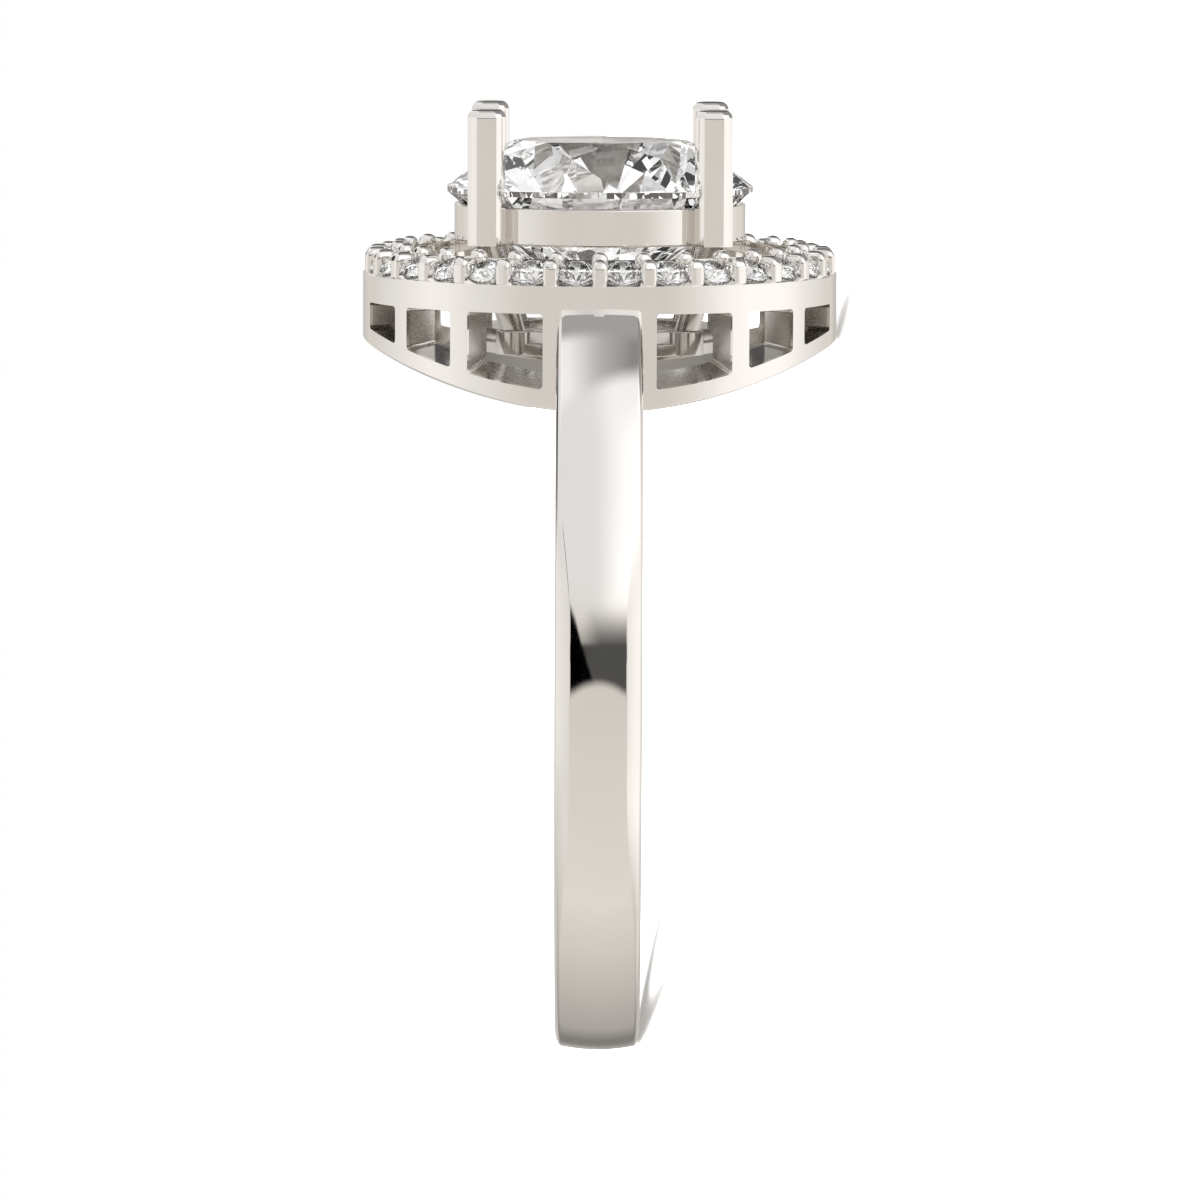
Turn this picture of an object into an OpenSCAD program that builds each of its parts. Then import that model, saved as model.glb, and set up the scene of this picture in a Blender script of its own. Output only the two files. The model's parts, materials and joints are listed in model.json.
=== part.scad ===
// Halo engagement ring, lying on its side. All sizes are in millimetres.
//
// Every module below draws its sub-part in the ring's own axes: X runs along the finger,
// Z points from the centre of the finger hole to the head, and Y runs from front to back.
// lay_on_side() then puts the ring down on the edge of its shank and the rim of its gallery.

/* [Finger hole and shank] */
// Inside radius of the finger hole (8.25 is US size 6)
finger_r = 8.25; // [8.1:0.05:8.4]
// Width of the shank along the finger
shank_w = 2.2; // [2:0.05:2.4]
// Thickness of the shank opposite the head
shank_base_t = 1.8; // [1.6:0.05:2]
// Thickness that the shank's outer curve would have under the head
shank_shoulder_t = 3.54; // [3.4:0.02:3.6]
// Width of the flat middle of the shank's outer face
shank_flat_w = 0.8; // [0.6:0.05:1]
// Height of that flat middle over the bevels beside it
shank_crown_h = 0.05; // [0.03:0.01:0.06]
// Width of the bevel along both outer edges of the shank
shank_bevel_w = 0.33; // [0.3:0.01:0.36]
// Height of that bevel
shank_bevel_h = 0.3; // [0.25:0.01:0.32]
// Thickness of the shank where it bridges the finger under the head
bridge_t = 0.75; // [0.65:0.01:0.76]

/* [Gallery] */
// Outer radius of the gallery wall and of the halo's rim
gallery_r = 6.2; // [6.15:0.01:6.25]
// Thickness of the gallery wall
gallery_wall = 0.9; // [0.7:0.05:1]
// Height of the gallery's lower edge over the finger hole, at the sides
gallery_lift = 0.43; // [0.35:0.01:0.5]
// Radius of the arch that the gallery's lower edge follows
gallery_arch_r = 13.8; // [13:0.1:15]
// Height of the rail under the windows
gallery_rail_h = 0.45; // [0.35:0.01:0.5]
// Height of the windows' top over the finger hole's centre
window_top_z = 9.71; // [9.6:0.01:9.8]
// Height of the solid rim band over the windows
rim_h = 0.71; // [0.65:0.01:0.8]

/* [Halo] */
// Number of stones in the halo
halo_count = 30; // [28:2:32]
// Diameter of one halo stone
halo_stone_d = 1.05; // [0.95:0.01:1.06]
// Outward tilt of the halo's seat, in degrees
halo_tilt = 28; // [25:1:30]
// Inner radius of the halo
halo_inner_r = 5.05; // [5:0.01:5.08]
// Width of an outer claw
claw_w = 0.4; // [0.3:0.01:0.42]
// Height of an outer claw over the rim
claw_h = 0.68; // [0.6:0.01:0.75]
// Width of an inner bead
bead_w = 0.42; // [0.3:0.01:0.44]
// Height of an inner bead over the rim
bead_h = 0.83; // [0.75:0.01:0.9]

/* [Centre stone and basket] */
// Diameter of the centre stone
centre_stone_d = 8; // [7.8:0.05:8.1]
// Height of the centre stone's girdle over the finger hole's centre
girdle_z = 12.61; // [12.55:0.01:12.8]
// Side of a prong's rounded square section
prong_side = 0.98; // [0.85:0.01:1.05]
// Radius of the prong's long edges
prong_round = 0.25; // [0.15:0.01:0.3]
// Distance of each prong's centre from the head's two middle planes
prong_pitch = 2.92; // [2.88:0.01:2.96]
// Height of the prongs' tips over the finger hole's centre
prong_tip_z = 14.78; // [14.5:0.01:15]
// Outer radius of the basket's rail
basket_r = 3.81; // [3.78:0.01:3.84]
// Inner radius of the basket's rail
basket_inner_r = 3.2; // [3.1:0.01:3.3]
// Height of the lower edge of the rail and the prongs
basket_foot_z = 11.27; // [11.2:0.01:11.35]
// Height of the basket's rail
basket_rail_h = 0.97; // [0.9:0.01:1]

/* [Base ring] */
// Outer radius of the ring that carries the basket's legs
base_r = 3.3; // [3.2:0.01:3.4]
// Width of the base ring
base_w = 0.75; // [0.65:0.01:0.85]
// Height of the base ring's underside over the finger hole
base_lift = 0.15; // [0.1:0.01:0.18]
// Height of each of the base ring's two steps
base_step_h = 0.32; // [0.28:0.01:0.34]
// Radius of a basket leg
leg_r = 0.32; // [0.25:0.01:0.35]

/* [Hidden] */
$fn = 96;

// Windows in one quarter of the gallery: degrees from the front or back line where each starts and ends
WINDOW_START = 0;
WINDOW_END = 1;
windows = [
    [13.5, 33],
    [38, 53.2],
    [58.2, 74.5]
];

// Proportions of a round brilliant cut
table_share = 0.57;
crown_angle = 34.5;
pavilion_angle = 40.8;
girdle_share = 0.02;

// Clearance around the stones, where the metal is cut away for them
centre_gap = 0.04;
halo_gap = 0.03;

// Shank: an outer circle that stands higher than the finger hole, so that the shank thickens upwards
shank_outer_r = finger_r + (shank_base_t + shank_shoulder_t) / 2;
shank_outer_z = (shank_shoulder_t - shank_base_t) / 2;
shank_shoulder_r = shank_outer_r - shank_crown_h;
shank_shoulder_x = shank_w / 2 - shank_bevel_w;
shank_edge_r = shank_shoulder_r - shank_bevel_h;
bridge_r = finger_r + bridge_t;

// The uncut gallery and the shank's uncut section start this deep under the finger hole's top
start_depth = 2;

// Gallery and halo seat
gallery_side_z = finger_r + gallery_lift;
gallery_arch_z = gallery_side_z - gallery_arch_r;
gallery_inner_r = gallery_r - gallery_wall;
gallery_low_z = finger_r - start_depth;
rim_top_z = window_top_z + rim_h;
halo_slope = tan(halo_tilt);
halo_inner_top_z = rim_top_z + (gallery_r - halo_inner_r) * halo_slope;
halo_inner_drop = 0.35;
halo_inner_low_z = rim_top_z - halo_inner_drop;

// Halo stones sit on a circle in the middle of the seat, half a step away from the claws
halo_step = 360 / halo_count;
halo_front = 270;
halo_inset = 0.54;
halo_r = gallery_r - halo_inset;
halo_z = rim_top_z + (gallery_r - halo_r) * halo_slope;
halo_proud = 0.04;

// Claws and beads are radial bars with round tops, sunk into the seat
claw_inset = 0.04;
claw_depth = 0.54;
claw_sunk = 0.12;
claw_outer_r = gallery_r - claw_inset;
claw_low_z = rim_top_z - claw_sunk;
bead_inset = 0.02;
bead_depth = 0.43;
bead_foot_h = 0.28;
bead_inner_r = halo_inner_r + bead_inset;
bead_low_z = rim_top_z + bead_foot_h;

// Legs run from the prongs' feet inwards and down to the base ring
leg_in_prong = 0.2;
leg_lean = 0.75;
base_low_z = finger_r + base_lift;
leg_top_z = basket_foot_z + leg_in_prong;
leg_foot_z = base_low_z + base_step_h;
leg_foot_pitch = prong_pitch - leg_lean;
lobe_r = 0.52;
base_step_in = 0.15;

// The ring lies on the gallery's lower edge and on the outer corner of the shank's bevel
shank_corner_z = shank_outer_z - shank_edge_r;
rest_tilt = atan2(gallery_r - shank_w / 2, gallery_side_z - shank_corner_z);
rest_z = gallery_r * cos(rest_tilt) - gallery_side_z * sin(rest_tilt);

// The origin lies on the floor, under the middle of the ring's length
prong_corner = prong_pitch + prong_side / 2;
head_end_x = prong_corner * sin(rest_tilt) + prong_tip_z * cos(rest_tilt);
shank_end_x = shank_shoulder_x * sin(rest_tilt) + (shank_shoulder_r - shank_outer_z) * cos(rest_tilt);
rest_x = (shank_end_x - head_end_x) / 2;

far = 20;

function stone_name(i) = str("halo_stone_", i < 10 ? "0" : "", i);

module lay_on_side() {
    translate([rest_x, 0, rest_z]) rotate([0, 90 - rest_tilt, 0]) children();
}

// A cylinder along the finger
module finger_cylinder(r, length) {
    rotate([0, 90, 0]) cylinder(r = r, h = length, center = true);
}

module rounded_square(side, r) {
    square([side, side - 2 * r], center = true);
    square([side - 2 * r, side], center = true);
    for (x = [-1, 1], y = [-1, 1])
        translate([x, y] * (side / 2 - r)) circle(r = r);
}

// A bar that starts at the origin and runs out along X, with a half-round top
module round_topped_bar(w, h, depth) {
    rotate([90, 0, 90]) linear_extrude(depth) {
        translate([-w / 2, 0]) square([w, h - w / 2]);
        translate([0, h - w / 2]) circle(d = w);
    }
}

// A round brilliant with its girdle's middle at the origin. With grow, it is the room cut for that stone.
module brilliant(d, grow = 0) {
    r = d / 2 + grow;
    half_girdle = d * girdle_share / 2;
    table_r = d / 2 * table_share + grow;
    pavilion_h = r * tan(pavilion_angle);
    crown_h = (r - table_r) * tan(crown_angle);
    translate([0, 0, -half_girdle - pavilion_h]) cylinder(r1 = 0, r2 = r, h = pavilion_h);
    translate([0, 0, -half_girdle]) cylinder(r = r, h = 2 * half_girdle);
    translate([0, 0, half_girdle]) cylinder(r1 = r, r2 = table_r, h = crown_h);
}

module centre_stone_shape(grow = 0) {
    translate([0, 0, girdle_z]) brilliant(centre_stone_d, grow);
}

module halo_stone_shape(i, grow = 0) {
    rotate([0, 0, halo_front + (i - 0.5) * halo_step])
        translate([halo_r, 0, halo_z])
            rotate([0, halo_tilt, 0])
                translate([0, 0, halo_proud]) brilliant(halo_stone_d, grow);
}

// Section of the shank: flat in the middle, with gently sloping shoulders and a bevel along each edge
module shank_section() {
    half_w = shank_w / 2;
    inner = finger_r - start_depth;
    polygon([
        [inner, -half_w],
        [shank_edge_r, -half_w],
        [shank_shoulder_r, -shank_shoulder_x],
        [shank_outer_r, -shank_flat_w / 2],
        [shank_outer_r, shank_flat_w / 2],
        [shank_shoulder_r, shank_shoulder_x],
        [shank_edge_r, half_w],
        [inner, half_w]
    ]);
}

module shank() {
    color("lightgray") difference() {
        translate([0, 0, shank_outer_z]) rotate([0, 90, 0]) rotate_extrude($fn = 240) shank_section();
        difference() {
            cylinder(r = gallery_inner_r, h = far);
            finger_cylinder(bridge_r, far);
        }
        finger_cylinder(finger_r, far, $fn = 240);
    }
}

// One window of the gallery: a wedge that stops at the rail
module window_cut(start, end) {
    difference() {
        linear_extrude(window_top_z)
            polygon([[0, 0], far * [cos(start), sin(start)], far * [cos(end), sin(end)]]);
        translate([0, 0, gallery_arch_z]) finger_cylinder(gallery_arch_r + gallery_rail_h, 3 * far);
    }
}

module gallery() {
    color("gainsboro") difference() {
        translate([0, 0, gallery_low_z]) cylinder(r = gallery_r, h = rim_top_z - gallery_low_z);
        cylinder(r = gallery_inner_r, h = far);
        translate([0, 0, gallery_arch_z]) finger_cylinder(gallery_arch_r, 3 * far);
        for (half = [90, 270], w = windows) {
            window_cut(half + w[WINDOW_START], half + w[WINDOW_END]);
            window_cut(half - w[WINDOW_END], half - w[WINDOW_START]);
        }
    }
}

module halo_seat() {
    color("whitesmoke") rotate_extrude()
        polygon([
            [gallery_inner_r, window_top_z],
            [gallery_r, window_top_z],
            [gallery_r, rim_top_z],
            [halo_inner_r, halo_inner_top_z],
            [halo_inner_r, halo_inner_low_z]
        ]);
}

module halo_claws() {
    color("white") for (i = [0:halo_count - 1])
        rotate([0, 0, halo_front + i * halo_step]) {
            translate([claw_outer_r - claw_depth, 0, claw_low_z])
                round_topped_bar(claw_w, rim_top_z + claw_h - claw_low_z, claw_depth);
            translate([bead_inner_r, 0, bead_low_z])
                round_topped_bar(bead_w, rim_top_z + bead_h - bead_low_z, bead_depth);
        }
}

module basket() {
    color("silver") {
        translate([0, 0, basket_foot_z]) difference() {
            cylinder(r = basket_r, h = basket_rail_h);
            translate([0, 0, -1]) cylinder(r = basket_inner_r, h = basket_rail_h + 2);
        }
        for (x = [-1, 1], y = [-1, 1])
            translate([x * prong_pitch, y * prong_pitch, basket_foot_z])
                linear_extrude(prong_tip_z - basket_foot_z) rounded_square(prong_side, prong_round);
    }
}

module base_ring() {
    leg_run = (prong_pitch - leg_foot_pitch) * sqrt(2);
    leg_rise = leg_top_z - leg_foot_z;
    color("darkgray") {
        difference() {
            union() {
                translate([0, 0, base_low_z]) cylinder(r = base_r, h = base_step_h);
                translate([0, 0, base_low_z]) cylinder(r = base_r - base_step_in, h = 2 * base_step_h);
            }
            translate([0, 0, base_low_z - 1]) cylinder(r = base_r - base_w, h = far);
        }
        for (quarter = [45:90:315]) rotate([0, 0, quarter]) {
            translate([leg_foot_pitch * sqrt(2), 0, base_low_z]) cylinder(r = lobe_r, h = 2 * base_step_h);
            translate([leg_foot_pitch * sqrt(2), 0, leg_foot_z])
                rotate([0, atan2(leg_run, leg_rise), 0])
                    cylinder(r = leg_r, h = norm([leg_run, leg_rise]));
        }
    }
}

// The soldered metal: one solid, cut away where the stones sit
module ring_mounting() {
    lay_on_side() difference() {
        union() {
            shank();
            gallery();
            halo_seat();
            halo_claws();
            basket();
            base_ring();
        }
        centre_stone_shape(centre_gap);
        for (i = [1:halo_count]) halo_stone_shape(i, halo_gap);
    }
}

module centre_stone() {
    color("aliceblue") lay_on_side() centre_stone_shape();
}

module halo_stone(i) {
    color("azure") lay_on_side() halo_stone_shape(i);
}

ring_mounting();
centre_stone();
for (i = [1:halo_count])
    halo_stone(i);
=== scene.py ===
"""Looks of the halo engagement ring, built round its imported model.

Shapes are drawn in the ring's own axes, in millimetres: X runs along the finger, Z points from the
centre of the finger hole to the head, and Y runs from front to back. RING lays them down in metres.
"""

import json
import math

import bmesh
import bpy
import numpy as np
from mathutils import Matrix, Vector


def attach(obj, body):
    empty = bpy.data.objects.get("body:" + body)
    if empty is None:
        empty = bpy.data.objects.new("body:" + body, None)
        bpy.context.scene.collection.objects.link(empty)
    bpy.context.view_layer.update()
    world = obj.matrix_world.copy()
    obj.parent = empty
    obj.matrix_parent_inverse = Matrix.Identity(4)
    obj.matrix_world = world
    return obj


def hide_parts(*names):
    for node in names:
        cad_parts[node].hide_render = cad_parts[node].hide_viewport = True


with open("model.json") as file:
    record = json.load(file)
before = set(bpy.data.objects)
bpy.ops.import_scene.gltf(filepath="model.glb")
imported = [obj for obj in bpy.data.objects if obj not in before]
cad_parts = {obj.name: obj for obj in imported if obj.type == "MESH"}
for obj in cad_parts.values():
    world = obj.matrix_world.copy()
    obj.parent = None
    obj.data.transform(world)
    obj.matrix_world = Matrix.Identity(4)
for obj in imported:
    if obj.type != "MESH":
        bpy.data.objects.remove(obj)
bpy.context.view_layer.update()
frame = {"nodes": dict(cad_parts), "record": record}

MM = 0.001

# The finger hole's mount gives the ring's own axes and the place of its centre
hole = next(m for m in frame["record"]["mounts"] if m["name"] == "finger_hole")
ALONG = Vector(hole["axis"]).normalized()
BACK = Vector((0, 1, 0))
UP = ALONG.cross(BACK)
RING_TURN = Matrix((ALONG, BACK, UP)).transposed()
RING = Matrix.Translation(hole["pos_m"]) @ RING_TURN.to_4x4() @ Matrix.Scale(MM, 4)

# Finger hole and shank. The shank's outer circle is larger than the hole and centred above it.
FINGER_R = hole["dims"]["r_mm"]
SHANK_W = hole["dims"]["length_mm"]
SHANK_EDGE_X = SHANK_W / 2
SHANK_OUTER_R = 10.919
SHANK_OUTER_Z = 0.87
# Slope of the shank's outer face in degrees, at distances from its middle line, in three places: near the
# head and at the back its flat middle is wide, and halfway it is narrow between broad bevels
HEAD_SLOPES = [(0.0, 0), (0.95, 8), (0.99, 27), (1.03, 36), (1.035, 54), (1.07, 67), (SHANK_EDGE_X, 84)]
HALFWAY_SLOPES = [(0.0, 0), (0.69, 7), (0.73, 27), (1.02, 36), (1.035, 54), (1.065, 67), (SHANK_EDGE_X, 84)]
BACK_SLOPES = [(0.0, 0), (0.93, 11.6), (0.97, 30), (1.0, 54), (1.03, 67), (1.065, 72), (SHANK_EDGE_X, 78)]
# Degrees from the head between which one section turns into the next
FLAT_NARROWS = (62, 83)
FLAT_WIDENS = (104, 132)
# The finger hole is straight, with rounded edges
BORE_EDGE_R = 0.12
BORE_SLOPES = [(0.0, 0), (SHANK_EDGE_X - BORE_EDGE_R, 0), (SHANK_EDGE_X, 90)]
# Under the head the band goes on as a low bridge between the two places where it enters the gallery
BRIDGE_R = 9.0
BRIDGE_END_Y = 5.6
# Sections along the shank's two sides and along the bridge
SHANK_SECTIONS = 640
BRIDGE_SECTIONS = 40

# Gallery: a round wall whose lower edge follows a circle, seen along the finger
GALLERY_R = 6.2
GALLERY_INNER_R = 5.3
ARCH_R = 13.8
ARCH_Z = -5.12
GALLERY_RAIL_H = 0.45
GALLERY_EDGE_R = 0.08
EDGE_STEPS = 3
WINDOW_TOP_Z = 9.71
RIM_TOP_Z = 10.42
# Degrees from the front or back line where the windows of one quarter start and end
WINDOWS = [(13.5, 33.0), (38.0, 53.2), (58.2, 74.5)]
WINDOW_CORNER_R = 0.1
CORNER_STEPS = 4
# Degrees between the wall's plain columns, and how near one of them may come to a column of a corner
COLUMN_STEP = 0.5
COLUMN_ROOM = 0.2
GALLERY_BEVEL = 0.03

# Halo: stones on a seat that slopes outwards, each between two outer claws and two inner beads
HALO_NODES = sorted(n for n in frame["nodes"] if n.startswith("halo_stone_"))
HALO_STEP = 360 / len(HALO_NODES)
# Degrees from the X axis to the ring's front, where the first claw stands
HALO_FRONT = 270
HALO_STONE_D = 1.05
HALO_TILT = 28
HALO_INNER_R = 5.05
HALO_WALL_H = 0.35
HALO_R = 5.66
HALO_PROUD = 0.04
HALO_SLOPE = math.tan(math.radians(HALO_TILT))
HALO_Z = RIM_TOP_Z + (GALLERY_R - HALO_R) * HALO_SLOPE
HALO_GAP = 0.03
# Half of the least width that a claw's or bead's rounded top narrows to
LEAST_HALF_W = 0.001
# Claws and beads: radii and heights of their ends, how far their tops round over on each side, and how
# square their section is, from 2 for an ellipse upwards
CLAW = {
    "width": 0.4, "inner_r": 5.62, "outer_r": 6.16, "low_z": RIM_TOP_Z - 0.12, "top_z": RIM_TOP_Z + 0.68,
    "round_side": 0.2, "round_out": 0.26, "round_in": 0.12, "squareness": 4.5,
}
BEAD = {
    "width": 0.42, "inner_r": 5.07, "outer_r": 5.5, "low_z": RIM_TOP_Z + 0.28, "top_z": RIM_TOP_Z + 0.83,
    "round_side": 0.21, "round_out": 0.2, "round_in": 0.18, "squareness": 3.0,
}

# Centre stone and basket
CENTRE_STONE_D = 8.0
GIRDLE_Z = 12.61
CENTRE_GAP = 0.04
# Degrees by which the stone's facets are turned about the head's axis
CENTRE_STONE_TURN = 8
BASKET_R = 3.81
BASKET_INNER_R = 3.2
BASKET_FOOT_Z = 11.27
BASKET_TOP_Z = 12.24
BASKET_BEVEL = 0.05
PRONG_SIDE = 0.98
PRONG_PITCH = 2.92
PRONG_TIP_Z = 14.78
PRONG_TOP_R = 0.24
# Width of a prong's flat face, and slopes in degrees at distances from its middle, to the corner's diagonal
PRONG_FLAT_W = 0.47
PRONG_SLOPES = [(0.0, 0), (PRONG_FLAT_W / 2, 0), (PRONG_FLAT_W / 2 + 0.02, 36), (0.44, 45)]

# Base ring of two steps, with a lobe under each leg. The legs lean outwards and end inside the prongs.
BASE_R = 3.3
BASE_INNER_R = 2.55
BASE_LOW_Z = 8.4
BASE_STEP_H = 0.32
BASE_STEP_IN = 0.15
BASE_BEVEL = 0.03
LOBE_R = 0.52
LOBE_PITCH = 2.17
LEG_R = 0.32
LEG_SUNK = 0.2
LEG_BEVEL = 0.04

# Round brilliant cut: how many times its facets repeat, the table and the girdle as shares of the diameter,
# and the slopes in degrees above and below the girdle
MAIN_FACETS = 8
TABLE_SHARE = 0.57
GIRDLE_SHARE = 0.02
CROWN_ANGLE = 34.5
PAVILION_ANGLE = 40.8
# How far the star facets reach from the table towards the girdle, and the lower halves from the girdle
# towards the middle
STAR_LENGTH = 0.5
LOWER_HALF_LENGTH = 0.77


# Mesh helpers

def circle_point(radius, degrees, height):
    turn = math.radians(degrees)
    return radius * math.cos(turn), radius * math.sin(turn), height


def quarter_arc(steps):
    """Cosines and sines at equal steps from one end of a quarter circle to the other."""
    turns = [math.pi / 2 * k / steps for k in range(steps + 1)]
    return [(math.cos(turn), math.sin(turn)) for turn in turns]


def grid_faces(rows, columns, close_rows=True):
    """Quads over a grid of points that are numbered row by row, where each row closes to a ring."""
    faces = []
    for r in range(rows if close_rows else rows - 1):
        for c in range(columns):
            r2, c2 = (r + 1) % rows, (c + 1) % columns
            faces.append((r * columns + c, r * columns + c2, r2 * columns + c2, r2 * columns + c))
    return faces


def mesh_from(name, points, faces):
    mesh = bpy.data.meshes.new(name)
    mesh.from_pydata([tuple(p) for p in points], [], faces)
    bm = bmesh.new()
    bm.from_mesh(mesh)
    bmesh.ops.recalc_face_normals(bm, faces=bm.faces)
    bm.to_mesh(mesh)
    bm.free()
    return mesh


def joined(name, parts):
    """One mesh of several lists of points and faces."""
    points, faces = [], []
    for part_points, part_faces in parts:
        start = len(points)
        points += part_points
        faces += [tuple(start + i for i in face) for face in part_faces]
    return mesh_from(name, points, faces)


def add_object(name, mesh):
    obj = bpy.data.objects.new(name, mesh)
    bpy.context.scene.collection.objects.link(obj)
    return obj


def bake(obj):
    """Applies the object's modifiers."""
    depsgraph = bpy.context.evaluated_depsgraph_get()
    mesh = bpy.data.meshes.new_from_object(obj.evaluated_get(depsgraph), depsgraph=depsgraph)
    obj.modifiers.clear()
    obj.data = mesh


def cut(obj, cutter_mesh):
    cutter = add_object("cutter", cutter_mesh)
    tool = obj.modifiers.new("cut", "BOOLEAN")
    tool.operation = "DIFFERENCE"
    tool.solver = "EXACT"
    tool.object = cutter
    bake(obj)
    bpy.data.objects.remove(cutter)


def bevel(obj, width, segments=3, sharp=35):
    tool = obj.modifiers.new("bevel", "BEVEL")
    tool.width = width
    tool.segments = segments
    tool.limit_method = "ANGLE"
    tool.angle_limit = math.radians(sharp)
    tool.miter_outer = "MITER_ARC"
    bake(obj)


def polish(obj, sharp=40):
    """Smooth shading in which the wide faces stay true and the bevels turn between them."""
    mesh = obj.data
    mesh.polygons.foreach_set("use_smooth", np.ones(len(mesh.polygons), bool))
    mesh.set_sharp_from_angle(angle=math.radians(sharp))
    tool = obj.modifiers.new("normals", "WEIGHTED_NORMAL")
    tool.keep_sharp = True
    tool.weight = 50
    bake(obj)


def place(obj, material, slot, *nodes):
    """Lays a finished piece down in the frame, gives it its material and hides the imported parts it stands
    in for.
    """
    obj.data.transform(RING)
    obj.data.materials.clear()
    obj.data.materials.append(material)
    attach(obj, "root")
    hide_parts(*nodes)
    return obj


def metal_piece(obj, material=None):
    """Places a piece of the mounting, polished unless another material is given."""
    return place(obj, material or white_gold, "white_metal", "ring_mounting")


def slope_profile(slopes, steps=6):
    """Offset and drop along a face whose slope, in degrees, is given at offsets from its middle."""
    profile = [(0.0, 0.0)]
    drop = 0.0
    for (x0, a0), (x1, a1) in zip(slopes, slopes[1:]):
        s0, s1 = math.sin(math.radians(a0)), math.sin(math.radians(a1))
        for k in range(1, steps + 1):
            angle = math.radians(a0 + (a1 - a0) * k / steps)
            if a1 == a0:
                x, extra = x0 + (x1 - x0) * k / steps, 0.0
            else:
                radius = (x1 - x0) / (s1 - s0)
                x = x0 + radius * (math.sin(angle) - s0)
                extra = radius * (math.cos(math.radians(a0)) - math.cos(angle))
            profile.append((x, drop + extra))
        drop += extra
    return profile


def both_sides(profile):
    """A profile from its middle outwards, mirrored to run from one edge to the other."""
    return [(-x, drop) for x, drop in reversed(profile)] + profile[1:]


def soft_step(value, start, end):
    share = min(max((value - start) / (end - start), 0.0), 1.0)
    return share * share * (3 - 2 * share)


def blended(first, second, share):
    """A profile part of the way from one to another."""
    return [(x0 + (x1 - x0) * share, d0 + (d1 - d0) * share) for (x0, d0), (x1, d1) in zip(first, second)]


# Metal pieces

def shank():
    """A band with a nearly flat middle, sloping shoulders and rolled corners, bridged under the head."""
    head, halfway, back = (
        both_sides(slope_profile(slopes)) for slopes in (HEAD_SLOPES, HALFWAY_SLOPES, BACK_SLOPES)
    )
    bore = both_sides(slope_profile(BORE_SLOPES))[::-1]

    def section(turn, outer_radius, outer_z, outer_turn):
        """Points round the band at a turn from the head; its outer face has a circle and turn of its own."""
        from_head = min(turn, 360 - turn)
        outer = blended(head, halfway, soft_step(from_head, *FLAT_NARROWS))
        outer = blended(outer, back, soft_step(from_head, *FLAT_WIDENS))
        so, co = math.sin(math.radians(outer_turn)), math.cos(math.radians(outer_turn))
        s, c = math.sin(math.radians(turn)), math.cos(math.radians(turn))
        points = [(x, (outer_radius - drop) * so, outer_z + (outer_radius - drop) * co) for x, drop in outer]
        return points + [(x, (FINGER_R + drop) * s, (FINGER_R + drop) * c) for x, drop in bore]

    wall_turn = math.degrees(math.asin(BRIDGE_END_Y / SHANK_OUTER_R))
    bridge_turn = math.degrees(math.asin(BRIDGE_END_Y / BRIDGE_R))
    sections = []
    for k in range(SHANK_SECTIONS + 1):
        turn = wall_turn + (360 - 2 * wall_turn) * k / SHANK_SECTIONS
        sections.append(section(turn, SHANK_OUTER_R, SHANK_OUTER_Z, turn))
    for k in range(BRIDGE_SECTIONS + 1):
        share = 1 - 2 * k / BRIDGE_SECTIONS
        sections.append(section(-wall_turn * share, BRIDGE_R, 0, -bridge_turn * share))
    points = [point for one in sections for point in one]
    obj = add_object("shank", mesh_from("shank", points, grid_faces(len(sections), len(sections[0]))))
    polish(obj, sharp=50)
    return metal_piece(obj)


def arch_height(radius, degrees, lift=0.0):
    """Height of the gallery's lower edge, or of a line that far above it."""
    y = radius * math.sin(math.radians(degrees))
    return ARCH_Z + math.sqrt((ARCH_R + lift) ** 2 - y * y)


def window_spans():
    """Start and end of each window, in degrees from the X axis."""
    spans = []
    for middle in (90, 270):
        for start, end in WINDOWS:
            spans += [(middle + start, middle + end), (middle - end, middle - start)]
    return sorted((a % 360, b % 360 or 360) for a, b in spans)


def corner_rise(distance):
    """How far a window's rounded corner stands in from its edge, at a distance from the window's end."""
    inward = WINDOW_CORNER_R - distance
    return WINDOW_CORNER_R - math.sqrt(WINDOW_CORNER_R ** 2 - inward ** 2) if inward > 0 else 0.0


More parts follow.
